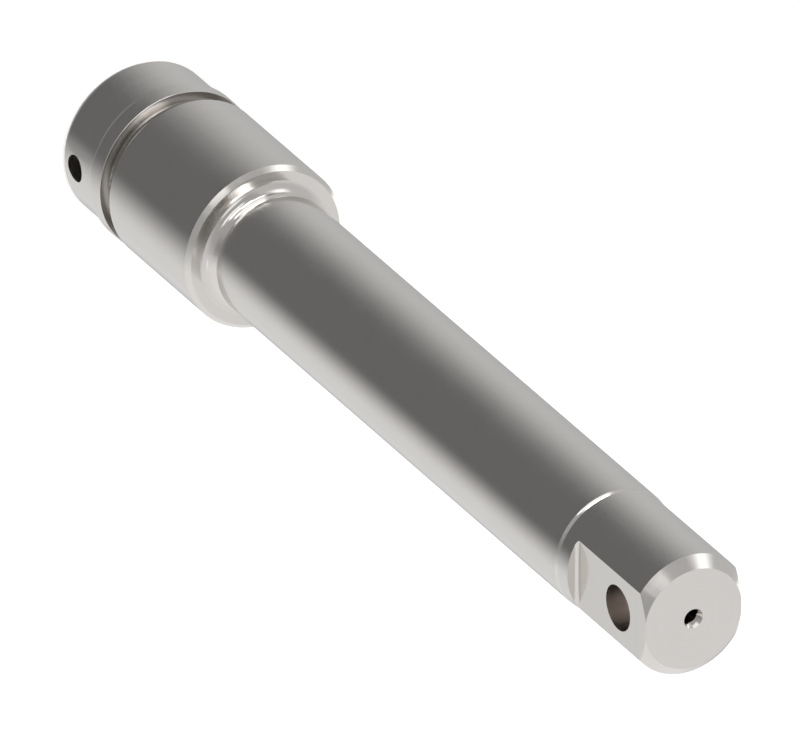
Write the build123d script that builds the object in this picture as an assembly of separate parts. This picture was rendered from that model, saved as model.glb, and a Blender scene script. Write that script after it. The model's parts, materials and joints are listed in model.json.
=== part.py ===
from build123d import *
import math
import os

# Control piston, turned from one bar of steel and then milled and cross-drilled.
# It stands on the end face of its head. The origin is the centre of that face,
# and +Z runs along the axis, through head and rod, to the tongue.

# Head: guided body, round-bottomed seal groove, land and a slightly smaller pilot
head_diameter = 37.5
body_length = 33.5
groove_width = 4.3
groove_depth = 3.8
groove_corner_radius = 1.6
land_length = 4.0
pilot_step = 0.675
pilot_length = 12.5
lead_in_length = 1.6
lead_in_angle = 30.0
shoulder_chamfer = 1.0
groove_edge_radius = 0.15

# Rod, with a relief at the shoulder that lets a grinding wheel run out
rod_diameter = 28.0
rod_length = 147.6
relief_depth = 1.4
relief_radius = 3.0
relief_floor_length = 0.1
relief_ramp_angle = 45.0

# Tongue: a hair slimmer than the rod, with two flats and a pivot bore
tongue_step = 0.3
tongue_length = 32.9
run_out_radius = 1.5
end_chamfer = 2.3
flats_across = 22.5
flats_length = 28.2
flats_root_radius = 0.8
pivot_bore_diameter = 10.0
pivot_from_end = 11.4

# Cross hole in the head
head_hole_diameter = 6.0
head_hole_height = 6.1

# Centre hole in the tongue's end face
centre_mouth_diameter = 4.4
centre_cone_angle = 60.0
centre_pilot_diameter = 2.8
centre_pilot_depth = 4.8
drill_point_angle = 118.0

# Radii and heights that follow from the sizes above
head_r = head_diameter / 2
groove_r = head_r - groove_depth
pilot_r = head_r - pilot_step
rod_r = rod_diameter / 2
relief_r = rod_r - relief_depth
tongue_r = rod_r - tongue_step
land_z = lead_in_length + pilot_length
groove_z = land_z + land_length
body_z = groove_z + groove_width
shoulder_z = body_z + body_length
ramp_z = shoulder_z + relief_radius + relief_floor_length
rod_top_z = shoulder_z + rod_length
overall_length = rod_top_z + tongue_length


def lead_in_drop():
    """How much smaller than the pilot the head's end face is, in radius."""
    return lead_in_length * math.tan(math.radians(lead_in_angle))


def pilot_rise_length():
    """Length of the slope, as steep as the lead-in, from the pilot up to the land."""
    return pilot_step / math.tan(math.radians(lead_in_angle))


def ramp_length():
    """Length of the slope that leads from the relief's floor up to the rod."""
    return relief_depth / math.tan(math.radians(relief_ramp_angle))


def run_out_length():
    """Length of the concave run-out that takes the rod down to the tongue."""
    return math.sqrt(tongue_step * (2 * run_out_radius - tongue_step))


def corner(sketch, radius, height):
    """The corner of the half section at a given radius and height."""
    return sketch.vertices().sort_by_distance((radius, height))[0]


def turned_section():
    """Half section of the turned piston: radius along x, height along y."""
    tongue_z = rod_top_z + run_out_length()
    with BuildSketch() as section:
        with BuildLine():
            head = Polyline(
                (0, 0),
                (pilot_r - lead_in_drop(), 0),
                (pilot_r, lead_in_length),
                (pilot_r, land_z - pilot_rise_length()),
                (head_r, land_z),
                (head_r, groove_z),
                (groove_r, groove_z),
                (groove_r, body_z),
                (head_r, body_z),
                (head_r, shoulder_z),
                (relief_r, shoulder_z),
                (relief_r, ramp_z),
                (rod_r, ramp_z + ramp_length()),
                (rod_r, rod_top_z),
            )
            run_out = RadiusArc(head @ 1, (tongue_r, tongue_z), run_out_radius)
            Polyline(
                run_out @ 1,
                (tongue_r, overall_length),
                (0, overall_length),
                (0, 0),
            )
        make_face()
        fillet(corner(section, relief_r, shoulder_z), relief_radius)
        for height in (groove_z, body_z):
            fillet(corner(section, groove_r, height), groove_corner_radius)
        fillet(corner(section, head_r, groove_z), groove_edge_radius)
        chamfer(corner(section, head_r, shoulder_z), shoulder_chamfer)
        chamfer(corner(section, tongue_r, overall_length), end_chamfer)
    return section.sketch


def stand_up(section):
    """Turn a half section into a solid of revolution about the vertical axis."""
    return revolve(Plane.XZ * section, Axis.Z)


def flats_waste():
    """The two slabs that are milled off the tongue, each with a rounded root."""
    flat_y = flats_across / 2
    slab = rod_diameter
    root_z = overall_length - flats_length
    with BuildSketch() as side:
        with Locations((flat_y, root_z)):
            Rectangle(slab, flats_length * 2, align=(Align.MIN, Align.MIN))
        fillet(corner(side, flat_y, root_z), flats_root_radius)
    one = extrude(Plane.YZ * side.sketch, amount=slab, both=True)
    return one + mirror(one, Plane.XZ)


def cross_hole(diameter, height, across):
    """A straight hole through the piston, at right angles to the flats."""
    hole = Cylinder(diameter / 2, across * 2)
    return Pos(0, 0, height) * Rot(90, 0, 0) * hole


def centre_hole():
    """Lathe centre in the tongue's end face: a cone above a short pilot drilling."""
    mouth_r = centre_mouth_diameter / 2
    pilot_hole_r = centre_pilot_diameter / 2
    cone = (mouth_r - pilot_hole_r) / math.tan(math.radians(centre_cone_angle / 2))
    tip = pilot_hole_r / math.tan(math.radians(drill_point_angle / 2))
    floor_z = overall_length - centre_pilot_depth
    with BuildSketch() as section:
        with BuildLine():
            Polyline(
                (0, overall_length),
                (mouth_r, overall_length),
                (pilot_hole_r, overall_length - cone),
                (pilot_hole_r, floor_z),
                (0, floor_z - tip),
                (0, overall_length),
            )
        make_face()
    return stand_up(section.sketch)


def control_piston():
    """The whole piston as one solid."""
    piston = stand_up(turned_section())
    piston -= flats_waste()
    piston -= cross_hole(pivot_bore_diameter, overall_length - pivot_from_end, head_diameter)
    piston -= cross_hole(head_hole_diameter, head_hole_height, head_diameter)
    piston -= centre_hole()
    return piston


os.makedirs("parts", exist_ok=True)
export_step(control_piston(), "parts/control_piston.step")
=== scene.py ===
import json
import math

import bpy
from mathutils import Matrix, Quaternion, Vector

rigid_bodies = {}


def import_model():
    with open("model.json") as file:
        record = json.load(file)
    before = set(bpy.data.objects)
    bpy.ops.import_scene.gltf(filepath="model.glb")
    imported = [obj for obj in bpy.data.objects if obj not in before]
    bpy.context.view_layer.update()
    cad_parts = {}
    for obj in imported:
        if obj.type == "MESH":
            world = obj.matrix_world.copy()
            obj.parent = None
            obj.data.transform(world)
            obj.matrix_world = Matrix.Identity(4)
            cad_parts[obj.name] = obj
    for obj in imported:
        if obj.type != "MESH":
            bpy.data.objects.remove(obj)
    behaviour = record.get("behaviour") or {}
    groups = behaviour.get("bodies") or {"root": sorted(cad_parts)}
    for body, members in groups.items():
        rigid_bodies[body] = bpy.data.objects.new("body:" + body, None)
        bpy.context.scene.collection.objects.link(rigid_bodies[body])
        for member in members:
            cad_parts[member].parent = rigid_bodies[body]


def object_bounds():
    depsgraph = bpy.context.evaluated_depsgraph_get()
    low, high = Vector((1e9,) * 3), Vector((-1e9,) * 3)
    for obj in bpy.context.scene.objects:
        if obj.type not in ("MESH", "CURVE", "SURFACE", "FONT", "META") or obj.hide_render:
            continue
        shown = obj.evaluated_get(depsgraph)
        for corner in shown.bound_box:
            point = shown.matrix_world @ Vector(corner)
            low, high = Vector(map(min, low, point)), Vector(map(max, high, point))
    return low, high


# Control piston standing on the end of its head, seen from above the tongue.
# Everything is in metres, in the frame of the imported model: +Z runs up the axis.
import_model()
cad_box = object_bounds()

AXIS = Vector((0, 0, 1))
WHITE = (1.0, 1.0, 1.0, 1.0)

# The piston's length and head radius, from the frame
LENGTH = cad_box[1][2]
HEAD_RADIUS = cad_box[1][0]

# Its groove, flats and holes, from its drawing. Heights start at the head's end, and
# the centre hole's depth takes in its drill point.
GROOVE_HEIGHT = 0.0181
GROOVE_WIDTH = 0.0043
GROOVE_EDGE = 0.00015
FLATS_LENGTH = 0.0282
PIVOT_FROM_TOP = 0.0114
PIVOT_RADIUS = 0.005
HEAD_HOLE_HEIGHT = 0.0061
HEAD_HOLE_RADIUS = 0.003
CENTRE_DEPTH = 0.0057
CENTRE_PILOT_RADIUS = 0.0014

# Camera: a long lens, so that the piston shows almost no perspective
CAMERA_AZIMUTH = math.radians(-138.6)
CAMERA_ELEVATION = math.radians(49.82)
CAMERA_ROLL = math.radians(130.886)
CAMERA_DISTANCE = 6.9
LENS_MM = 1498.0
SENSOR_MM = 36.0
CLIP_START = 0.1
CLIP_END = 100.0
AIM = Vector((0.00024, 0.00013, 0.11317))

# Studio directions. The studio lies on its side round the standing piston, so that
# its overhead light is at -X, its right wall at +Y and its front at +Z.
STUDIO_UP = Vector((-1, 0, 0))
STUDIO_RIGHT = Vector((0, 1, 0))
STUDIO_FRONT = Vector((0, 0, 1))

# Soft boxes and flags round the piston, the later ones hanging before the earlier
# ones: where each hangs (up, right, front), half its width and height and how far
# its edge fades, as shares of its distance, and its brightness, where 1 is white
SOFT_BOXES = {
    "left_wall": ((-0.3, -0.93, -0.21), 0.36, 0.33, 0.34, 0.37),
    "right_flag": ((0.75, 0.61, 0.23), 0.2, 0.05, 0.1, 0.32),
    "left_strip": ((0.92, -0.38, 0.08), 0.22, 0.08, 0.09, 2.2),
    "ceiling": ((0.98, -0.08, -0.16), 0.35, 0.31, 0.11, 1.5),
    "back_strip": ((0.88, -0.03, -0.47), 0.25, 0.1, 0.08, 5.7),
    "front_strip": ((0.9, 0.03, 0.43), 0.28, 0.07, 0.07, 4.1),
    "front_flag": ((0.83, 0.21, 0.52), 0.16, 0.08, 0.06, 0.57),
    "front_left": ((0.72, -0.45, 0.53), 0.16, 0.08, 0.07, 2.6),
    "front_low": ((0.54, -0.36, 0.77), 0.27, 0.07, 0.07, 1.6),
    "front_lamp": ((0.07, 0.05, 0.99), 0.1, 0.1, 0.06, 1.4),
    "right_lamp": ((0.6, 0.67, 0.43), 0.03, 0.06, 0.26, 1.9),
    "low_lamp": ((-0.61, -0.41, 0.67), 0.12, 0.11, 0.12, 4.7),
    "right_low": ((-0.44, 0.81, -0.37), 0.25, 0.21, 0.06, 1.7),
}

# The studio's walls, backdrop and floor are smooth steps along its directions. Each
# step says where it starts and ends, then its values there unless they are 0 and 1.
# Walls: brightness from left to right
WALLS = (0.21, 0.32, 0.52, 0.72)

# Backdrop: where it begins, its brightness from left to right, the share of that from
# low to high, and how it goes dark to the left
BACKDROP_EDGE = (-0.585, -0.625)
BACKDROP_ACROSS = (0.1, 0.48, 0.66, 0.73)
BACKDROP_UPWARD = (-0.5, 0.3, 0.72, 1.0)
BACKDROP_LEFTWARD = (0.75, -0.2)
BACKDROP_DARK = 0.195

# Opening in the middle of the backdrop
OPENING_EDGE = (-0.84, -0.92)
OPENING_LEVEL = 0.42

# Studio floor: how it fades in below its horizon, how far the horizon sinks to the
# right and the back, and its brightness to the left, the middle and the front
HORIZON = (0.0, -0.59)
SINK_RIGHTWARD = (-0.2, 0.8, 0.0, 0.64)
SINK_BACKWARD = (-0.1, -0.45)
STUDIO_FLOOR_LEFT = (0.1, -0.5, 0.88, 0.96)
STUDIO_FLOOR_MIDDLE = (-0.75, -0.2)
STUDIO_FLOOR_MIDDLE_LEVEL = 1.09
STUDIO_FLOOR_FRONT = (0.2, 0.8)
STUDIO_FLOOR_FRONT_LEVEL = 1.01

# Brightness of the surround for all that doesn't mirror, and of the background
MATT_LEVEL = 0.8
BACKGROUND_LEVEL = 1.0

# Floor under the piston
FLOOR_RADIUS = 3.0
FLOOR_CORNERS = 96
FLOOR_COLOUR = (0.97, 0.97, 0.97, 1.0)
FLOOR_LIFT = 0.28

# Key light, from the camera's side so that the shadow falls behind the piston
KEY_DISTANCE = 2.0
KEY_SIZE = 1.6
KEY_POWER = 14.0

# Steel: ground outside, left as turned in the groove and as drilled in the holes, which sets
# their roughness. The groove's darker colour is painted shade, the cross holes' lighter colour
# is painted light, and the nearly black colour in the centre hole's drilling is painted shade.
STEEL_COLOUR = (0.625, 0.605, 0.582, 1.0)
GROOVE_SHADE_COLOUR = (0.56, 0.54, 0.52, 1.0)
HOLE_LIGHT_COLOUR = (0.72, 0.68, 0.65, 1.0)
PILOT_SHADE_COLOUR = (0.08, 0.075, 0.07, 1.0)
GROUND_ROUGHNESS = 0.14
TURNED_ROUGHNESS = 0.2
DRILLED_ROUGHNESS = 0.22

# Tool marks: how close they lie along the axis, on the flats, and on end faces as a
# share of that along the axis, how slowly they change round the axis, and their depth
MARKS_PER_METRE = 3500.0
MILLED_MARKS_PER_METRE = 1800.0
MARKS_ON_END_FACES = 0.6
MARKS_ROUND_PER_METRE = 10.0
MARK_DETAIL = 2.0
MARK_DEPTH = 8e-7

# Mottle, and how much it and the tool marks change the steel's colour and roughness
MOTTLE_PER_METRE = 90.0
MOTTLE_DETAIL = 4.0
MARK_TONE = 0.015
MARK_GLOSS = 0.1
MOTTLE_TONE = 0.01
MOTTLE_GLOSS = 0.05

# Nearly all of a noise's values lie between these
NOISE_RANGE = (0.3, 0.7)

# Margins that keep the walls of a hole or the groove inside it, the hole's as shares
# of its radius, and how squarely a surface of the flats faces along Y
HOLE_MARGIN = 1.002
PILOT_MARGIN = 1.02
WALL_MARGIN = 0.0002
FLAT_FACING = 0.99

# A Mix node repeats its sockets' names, so they are told apart by their places
MIX_SHARE = 0
MIX_NUMBERS = (2, 3)
MIX_COLOURS = (6, 7)
MIXED_NUMBER = 0
MIXED_COLOUR = 2


class Graph:
    """A node tree, with short calls for the nodes that world and materials use."""

    def __init__(self, tree):
        self.tree = tree
        tree.nodes.clear()

    def add(self, kind, **settings):
        """A new node of this kind with these settings."""
        node = self.tree.nodes.new(kind)
        for name, value in settings.items():
            setattr(node, name, value)
        return node

    def put(self, socket, value):
        """Link a socket to another, or set it to a number, vector or colour."""
        if isinstance(value, bpy.types.NodeSocket):
            self.tree.links.new(value, socket)
        else:
            socket.default_value = value

    def math(self, operation, a, b=0.0):
        """The result of a sum, a product, a comparison and so on."""
        node = self.add("ShaderNodeMath", operation=operation)
        self.put(node.inputs[0], a)
        self.put(node.inputs[1], b)
        return node.outputs[0]

    def along(self, vector, direction):
        """How far a unit vector points in a direction, from -1 to 1."""
        node = self.add("ShaderNodeVectorMath", operation="DOT_PRODUCT")
        self.put(node.inputs[0], vector)
        self.put(node.inputs[1], direction)
        return node.outputs["Value"]

    def ramp(self, value, start, end, low=0.0, high=1.0):
        """A smooth step from low to high while value goes from start to end."""
        node = self.add("ShaderNodeMapRange", interpolation_type="SMOOTHSTEP")
        for name, number in (
            ("Value", value),
            ("From Min", start),
            ("From Max", end),
            ("To Min", low),
            ("To Max", high),
        ):
            self.put(node.inputs[name], number)
        return node.outputs[0]

    def mix(self, kind, places, share, low, high):
        """A Mix node that gives low where share is 0 and high where it is 1."""
        node = self.add("ShaderNodeMix", data_type=kind)
        for place, value in zip((MIX_SHARE, *places), (share, low, high)):
            self.put(node.inputs[place], value)
        return node

    def blend(self, share, low, high):
        """The number low where share is 0, high where it is 1."""
        return self.mix("FLOAT", MIX_NUMBERS, share, low, high).outputs[MIXED_NUMBER]

    def tint(self, share, below, colour):
        """The colour below where share is 0, the other colour where it is 1."""
        return self.mix("RGBA", MIX_COLOURS, share, below, colour).outputs[MIXED_COLOUR]

    def noise(self, vector, scale, detail):
        """Smooth noise over a place, finer where scale and detail are higher."""
        node = self.add("ShaderNodeTexNoise")
        self.put(node.inputs["Vector"], vector)
        self.put(node.inputs["Scale"], scale)
        self.put(node.inputs["Detail"], detail)
        return node.outputs["Fac"]

    def point(self, x, y, z=0.0):
        """The vector with these three coordinates."""
        node = self.add("ShaderNodeCombineXYZ")
        for socket, value in zip(node.inputs, (x, y, z)):
            self.put(socket, value)
        return node.outputs[0]

    def coordinates(self, vector):
        """The three coordinates of a vector."""
        node = self.add("ShaderNodeSeparateXYZ")
        self.put(node.inputs[0], vector)
        return node.outputs

    def distance(self, x, y):
        """Distance from the line where both of these coordinates are zero."""
        node = self.add("ShaderNodeVectorMath", operation="LENGTH")
        self.put(node.inputs[0], self.point(x, y))
        return node.outputs["Value"]


def studio_direction(up, right, front):
    """A direction given along the studio's own axes."""
    return up * STUDIO_UP + right * STUDIO_RIGHT + front * STUDIO_FRONT


def panel(graph, direction, centre, half_width, half_height, edge):
    """1 inside a flat panel seen from the piston, 0 outside, soft over its edge."""
    toward = centre.normalized()
    across = STUDIO_FRONT.cross(toward).normalized()
    x = graph.math("ABSOLUTE", graph.along(direction, across))
    y = graph.math("ABSOLUTE", graph.along(direction, toward.cross(across)))
    wide = graph.ramp(x, half_width + edge, half_width)
    high = graph.ramp(y, half_height + edge, half_height)
    facing = graph.math("GREATER_THAN", graph.along(direction, toward), 0.0)
    return graph.math("MULTIPLY", facing, graph.math("MULTIPLY", wide, high))


def backdrop_light(graph, up, right):
    """Brightness of the backdrop, pale on its right and dark on its left."""
    pale = graph.math(
        "MULTIPLY", graph.ramp(right, *BACKDROP_ACROSS), graph.ramp(up, *BACKDROP_UPWARD)
    )
    return graph.blend(graph.ramp(right, *BACKDROP_LEFTWARD), pale, BACKDROP_DARK)


def floor_share(graph, up, right, front):
    """1 on the studio's floor, 0 above its horizon."""
    sink = graph.math(
        "MULTIPLY", graph.ramp(right, *SINK_RIGHTWARD), graph.ramp(front, *SINK_BACKWARD)
    )
    return graph.ramp(graph.math("ADD", up, sink), *HORIZON)


def floor_light(graph, right, front):
    """Brightness of the studio's floor."""
    level = graph.ramp(right, *STUDIO_FLOOR_LEFT)
    level = graph.ramp(front, *STUDIO_FLOOR_MIDDLE, level, STUDIO_FLOOR_MIDDLE_LEVEL)
    return graph.ramp(front, *STUDIO_FLOOR_FRONT, level, STUDIO_FLOOR_FRONT_LEVEL)


def studio_light(graph, direction):
    """What polished metal sees: pale walls, soft boxes, backdrop and white floor."""
    up = graph.along(direction, STUDIO_UP)
    right = graph.along(direction, STUDIO_RIGHT)
    front = graph.along(direction, STUDIO_FRONT)
    level = graph.ramp(right, *WALLS)
    for place, half_width, half_height, edge, brightness in SOFT_BOXES.values():
        seen = panel(graph, direction, studio_direction(*place), half_width, half_height, edge)
        level = graph.blend(seen, level, brightness)
    backdrop = backdrop_light(graph, up, right)
    level = graph.blend(graph.ramp(front, *BACKDROP_EDGE), level, backdrop)
    level = graph.blend(graph.ramp(front, *OPENING_EDGE), level, OPENING_LEVEL)
    floor = floor_share(graph, up, right, front)
    return graph.blend(floor, level, floor_light(graph, right, front))


def light_world():
    """An even pale surround; only what mirrors sees the studio."""
    world = bpy.data.worlds.new("studio")
    bpy.context.scene.world = world
    world.use_nodes = True
    graph = Graph(world.node_tree)
    direction = graph.add("ShaderNodeTexCoord").outputs["Generated"]
    path = graph.add("ShaderNodeLightPath")
    mirrored = graph.math(
        "MAXIMUM", path.outputs["Is Glossy Ray"], path.outputs["Is Transmission Ray"]
    )
    level = graph.blend(mirrored, MATT_LEVEL, studio_light(graph, direction))
    level = graph.blend(path.outputs["Is Camera Ray"], level, BACKGROUND_LEVEL)
    background = graph.add("ShaderNodeBackground")
    graph.put(background.inputs["Color"], WHITE)
    graph.put(background.inputs["Strength"], level)
    out = graph.add("ShaderNodeOutputWorld")
    graph.put(out.inputs["Surface"], background.outputs[0])


def mesh_object(name, points, faces):
    """A new mesh object in the scene."""
    mesh = bpy.data.meshes.new(name)
    mesh.from_pydata(points, [], faces)
    mesh.update()
    piece = bpy.data.objects.new(name, mesh)
    bpy.context.scene.collection.objects.link(piece)
    return piece


def floor_material():
    """Matt white with a little light of its own, so that the shadow stays faint."""
    material = bpy.data.materials.new("white_floor")
    material.use_nodes = True
    graph = Graph(material.node_tree)
    matt = graph.add("ShaderNodeBsdfDiffuse")
    graph.put(matt.inputs["Color"], FLOOR_COLOUR)
    lift = graph.add("ShaderNodeEmission")
    graph.put(lift.inputs["Strength"], FLOOR_LIFT)
    both = graph.add("ShaderNodeAddShader")
    graph.put(both.inputs[0], matt.outputs[0])
    graph.put(both.inputs[1], lift.outputs[0])
    out = graph.add("ShaderNodeOutputMaterial")
    graph.put(out.inputs["Surface"], both.outputs[0])
    return material


def lay_floor():
    """A round floor that takes the piston's shadow and isn't mirrored in its steel."""
    turn = math.tau / FLOOR_CORNERS
    rim = [
        (FLOOR_RADIUS * math.cos(corner * turn), FLOOR_RADIUS * math.sin(corner * turn), 0.0)
        for corner in range(FLOOR_CORNERS)
    ]
    floor = mesh_object("floor", rim, [range(FLOOR_CORNERS)])
    floor.data.materials.append(floor_material())
    floor.visible_glossy = False


def camera_axes():
    """The camera's right, up and back directions."""
    back = Vector((
        math.cos(CAMERA_ELEVATION) * math.cos(CAMERA_AZIMUTH),
        math.cos(CAMERA_ELEVATION) * math.sin(CAMERA_AZIMUTH),
        math.sin(CAMERA_ELEVATION),
    ))
    roll = Quaternion(back, CAMERA_ROLL)
    right = roll @ AXIS.cross(back).normalized()
    return right, back.cross(right), back


def add_facing(name, data, distance):
    """A camera or lamp that faces the aim from the camera's side, this far away."""
    right, up, back = camera_axes()
    turn = Matrix((right, up, back)).transposed().to_4x4()
    facing = bpy.data.objects.new(name, data)
    bpy.context.scene.collection.objects.link(facing)
    facing.matrix_world = Matrix.Translation(AIM + back * distance) @ turn
    return facing


def add_camera():
    """The camera that sees the piston as the photo does."""
    data = bpy.data.cameras.new("camera")
    data.lens = LENS_MM
    data.sensor_width = SENSOR_MM
    data.clip_start = CLIP_START
    data.clip_end = CLIP_END
    bpy.context.scene.camera = add_facing("camera", data, CAMERA_DISTANCE)


def add_key():
    """One broad soft light, nearer than the camera and not seen by it or by metal."""
    data = bpy.data.lights.new("key", "AREA")
    data.shape = "DISK"
    data.size = KEY_SIZE
    data.energy = KEY_POWER
    key = add_facing("key", data, KEY_DISTANCE)
    key.visible_camera = False
    key.visible_glossy = False


def in_cross_hole(graph, x, z, height, radius):
    """1 in a hole along Y at this height, its wall included."""
    away = graph.distance(x, graph.math("SUBTRACT", z, height))
    return graph.math("LESS_THAN", away, radius * HOLE_MARGIN)


def in_pilot(graph, radius, z):
    """1 in the drilling below the cone of the centre hole, where painted shade goes."""
    deep = graph.math("GREATER_THAN", z, LENGTH - CENTRE_DEPTH - WALL_MARGIN)
    near = graph.math("LESS_THAN", radius, CENTRE_PILOT_RADIUS * PILOT_MARGIN)
    return graph.math("MULTIPLY", deep, near)


def in_groove(graph, radius, z):
    """1 on the groove's walls and floor, up to the rounding of its edge."""
    above = graph.math("GREATER_THAN", z, GROOVE_HEIGHT - WALL_MARGIN)
    below = graph.math("LESS_THAN", z, GROOVE_HEIGHT + GROOVE_WIDTH + WALL_MARGIN)
    inside = graph.math("LESS_THAN", radius, HEAD_RADIUS - GROOVE_EDGE)
    return graph.math("MULTIPLY", graph.math("MULTIPLY", above, below), inside)


def on_flats(graph, facing_y, z):
    """1 on the tongue's two flats."""
    high = graph.math("GREATER_THAN", z, LENGTH - FLATS_LENGTH - WALL_MARGIN)
    square = graph.math("GREATER_THAN", graph.math("ABSOLUTE", facing_y), FLAT_FACING)
    return graph.math("MULTIPLY", high, square)


def tool_marks(graph, x, y, z, radius, flat, drilled):
    """Rings round the axis on all that is turned, lines across the flats, and rings
    round the bore in the cross holes."""
    feed = graph.math("ADD", z, graph.math("MULTIPLY", radius, MARKS_ON_END_FACES))
    feed = graph.blend(flat, feed, z)
    feed = graph.blend(drilled, feed, y)
    pitch = graph.blend(flat, MARKS_PER_METRE, MILLED_MARKS_PER_METRE)
    lay = graph.point(
        graph.math("MULTIPLY", x, MARKS_ROUND_PER_METRE),
        graph.math("MULTIPLY", y, MARKS_ROUND_PER_METRE),
        graph.math("MULTIPLY", feed, pitch),
    )
    return graph.noise(lay, 1.0, MARK_DETAIL)


def steel_material():
    """Bare steel with fine tool marks and a faint mottle, painted shade in the groove and the
    centre hole, and painted light in the cross holes.
    """
    material = bpy.data.materials.new("turned_steel")
    material.use_nodes = True
    graph = Graph(material.node_tree)
    place = graph.add("ShaderNodeTexCoord")
    x, y, z = graph.coordinates(place.outputs["Object"])
    facing_y = graph.coordinates(place.outputs["Normal"])["Y"]
    radius = graph.distance(x, y)

    # Surfaces that a tool other than the grinding wheel left
    drilled = graph.math(
        "MAXIMUM",
        in_cross_hole(graph, x, z, LENGTH - PIVOT_FROM_TOP, PIVOT_RADIUS),
        in_cross_hole(graph, x, z, HEAD_HOLE_HEIGHT, HEAD_HOLE_RADIUS),
    )
    pilot_shade = in_pilot(graph, radius, z)
    groove = in_groove(graph, radius, z)
    flat = on_flats(graph, facing_y, z)

    marks = tool_marks(graph, x, y, z, radius, flat, drilled)
    mottle = graph.noise(place.outputs["Object"], MOTTLE_PER_METRE, MOTTLE_DETAIL)

    # Darker colour in the groove: painted shade
    colour = graph.tint(groove, STEEL_COLOUR, GROOVE_SHADE_COLOUR)
    # Lighter colour in the cross holes: painted light
    colour = graph.tint(drilled, colour, HOLE_LIGHT_COLOUR)
    # Nearly black colour in the centre hole's drilling: painted shade
    colour = graph.tint(pilot_shade, colour, PILOT_SHADE_COLOUR)
    tone = graph.math(
        "ADD",
        graph.ramp(marks, *NOISE_RANGE, 1 - MARK_TONE, 1 + MARK_TONE),
        graph.ramp(mottle, *NOISE_RANGE, -MOTTLE_TONE, MOTTLE_TONE),
    )
    toned = graph.add("ShaderNodeVectorMath", operation="SCALE")
    graph.put(toned.inputs[0], colour)
    graph.put(toned.inputs["Scale"], tone)

    roughness = graph.blend(groove, GROUND_ROUGHNESS, TURNED_ROUGHNESS)
    roughness = graph.blend(drilled, roughness, DRILLED_ROUGHNESS)
    gloss = graph.math(
        "MULTIPLY",
        graph.ramp(marks, *NOISE_RANGE, 1 - MARK_GLOSS, 1 + MARK_GLOSS),
        graph.ramp(mottle, *NOISE_RANGE, 1 - MOTTLE_GLOSS, 1 + MOTTLE_GLOSS),
    )
    roughness = graph.math("MULTIPLY", roughness, gloss)

    bump = graph.add("ShaderNodeBump")
    graph.put(bump.inputs["Strength"], 1.0)
    graph.put(bump.inputs["Distance"], MARK_DEPTH)
    graph.put(bump.inputs["Height"], marks)

    steel = graph.add("ShaderNodeBsdfPrincipled")
    graph.put(steel.inputs["Metallic"], 1.0)
    graph.put(steel.inputs["Base Color"], toned.outputs[0])
    graph.put(steel.inputs["Roughness"], roughness)
    graph.put(steel.inputs["Normal"], bump.outputs[0])
    out = graph.add("ShaderNodeOutputMaterial")
    graph.put(out.inputs["Surface"], steel.outputs[0])
    return material


def finish_steel():
    """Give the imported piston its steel."""
    steel = steel_material()
    for node in bpy.data.objects:
        if node.type == "MESH" and node.name.startswith("control_piston"):
            for slot in node.material_slots:
                slot.material = steel


scene = bpy.context.scene
scene.view_settings.view_transform = "Standard"
light_world()
lay_floor()
add_camera()
add_key()
finish_steel()
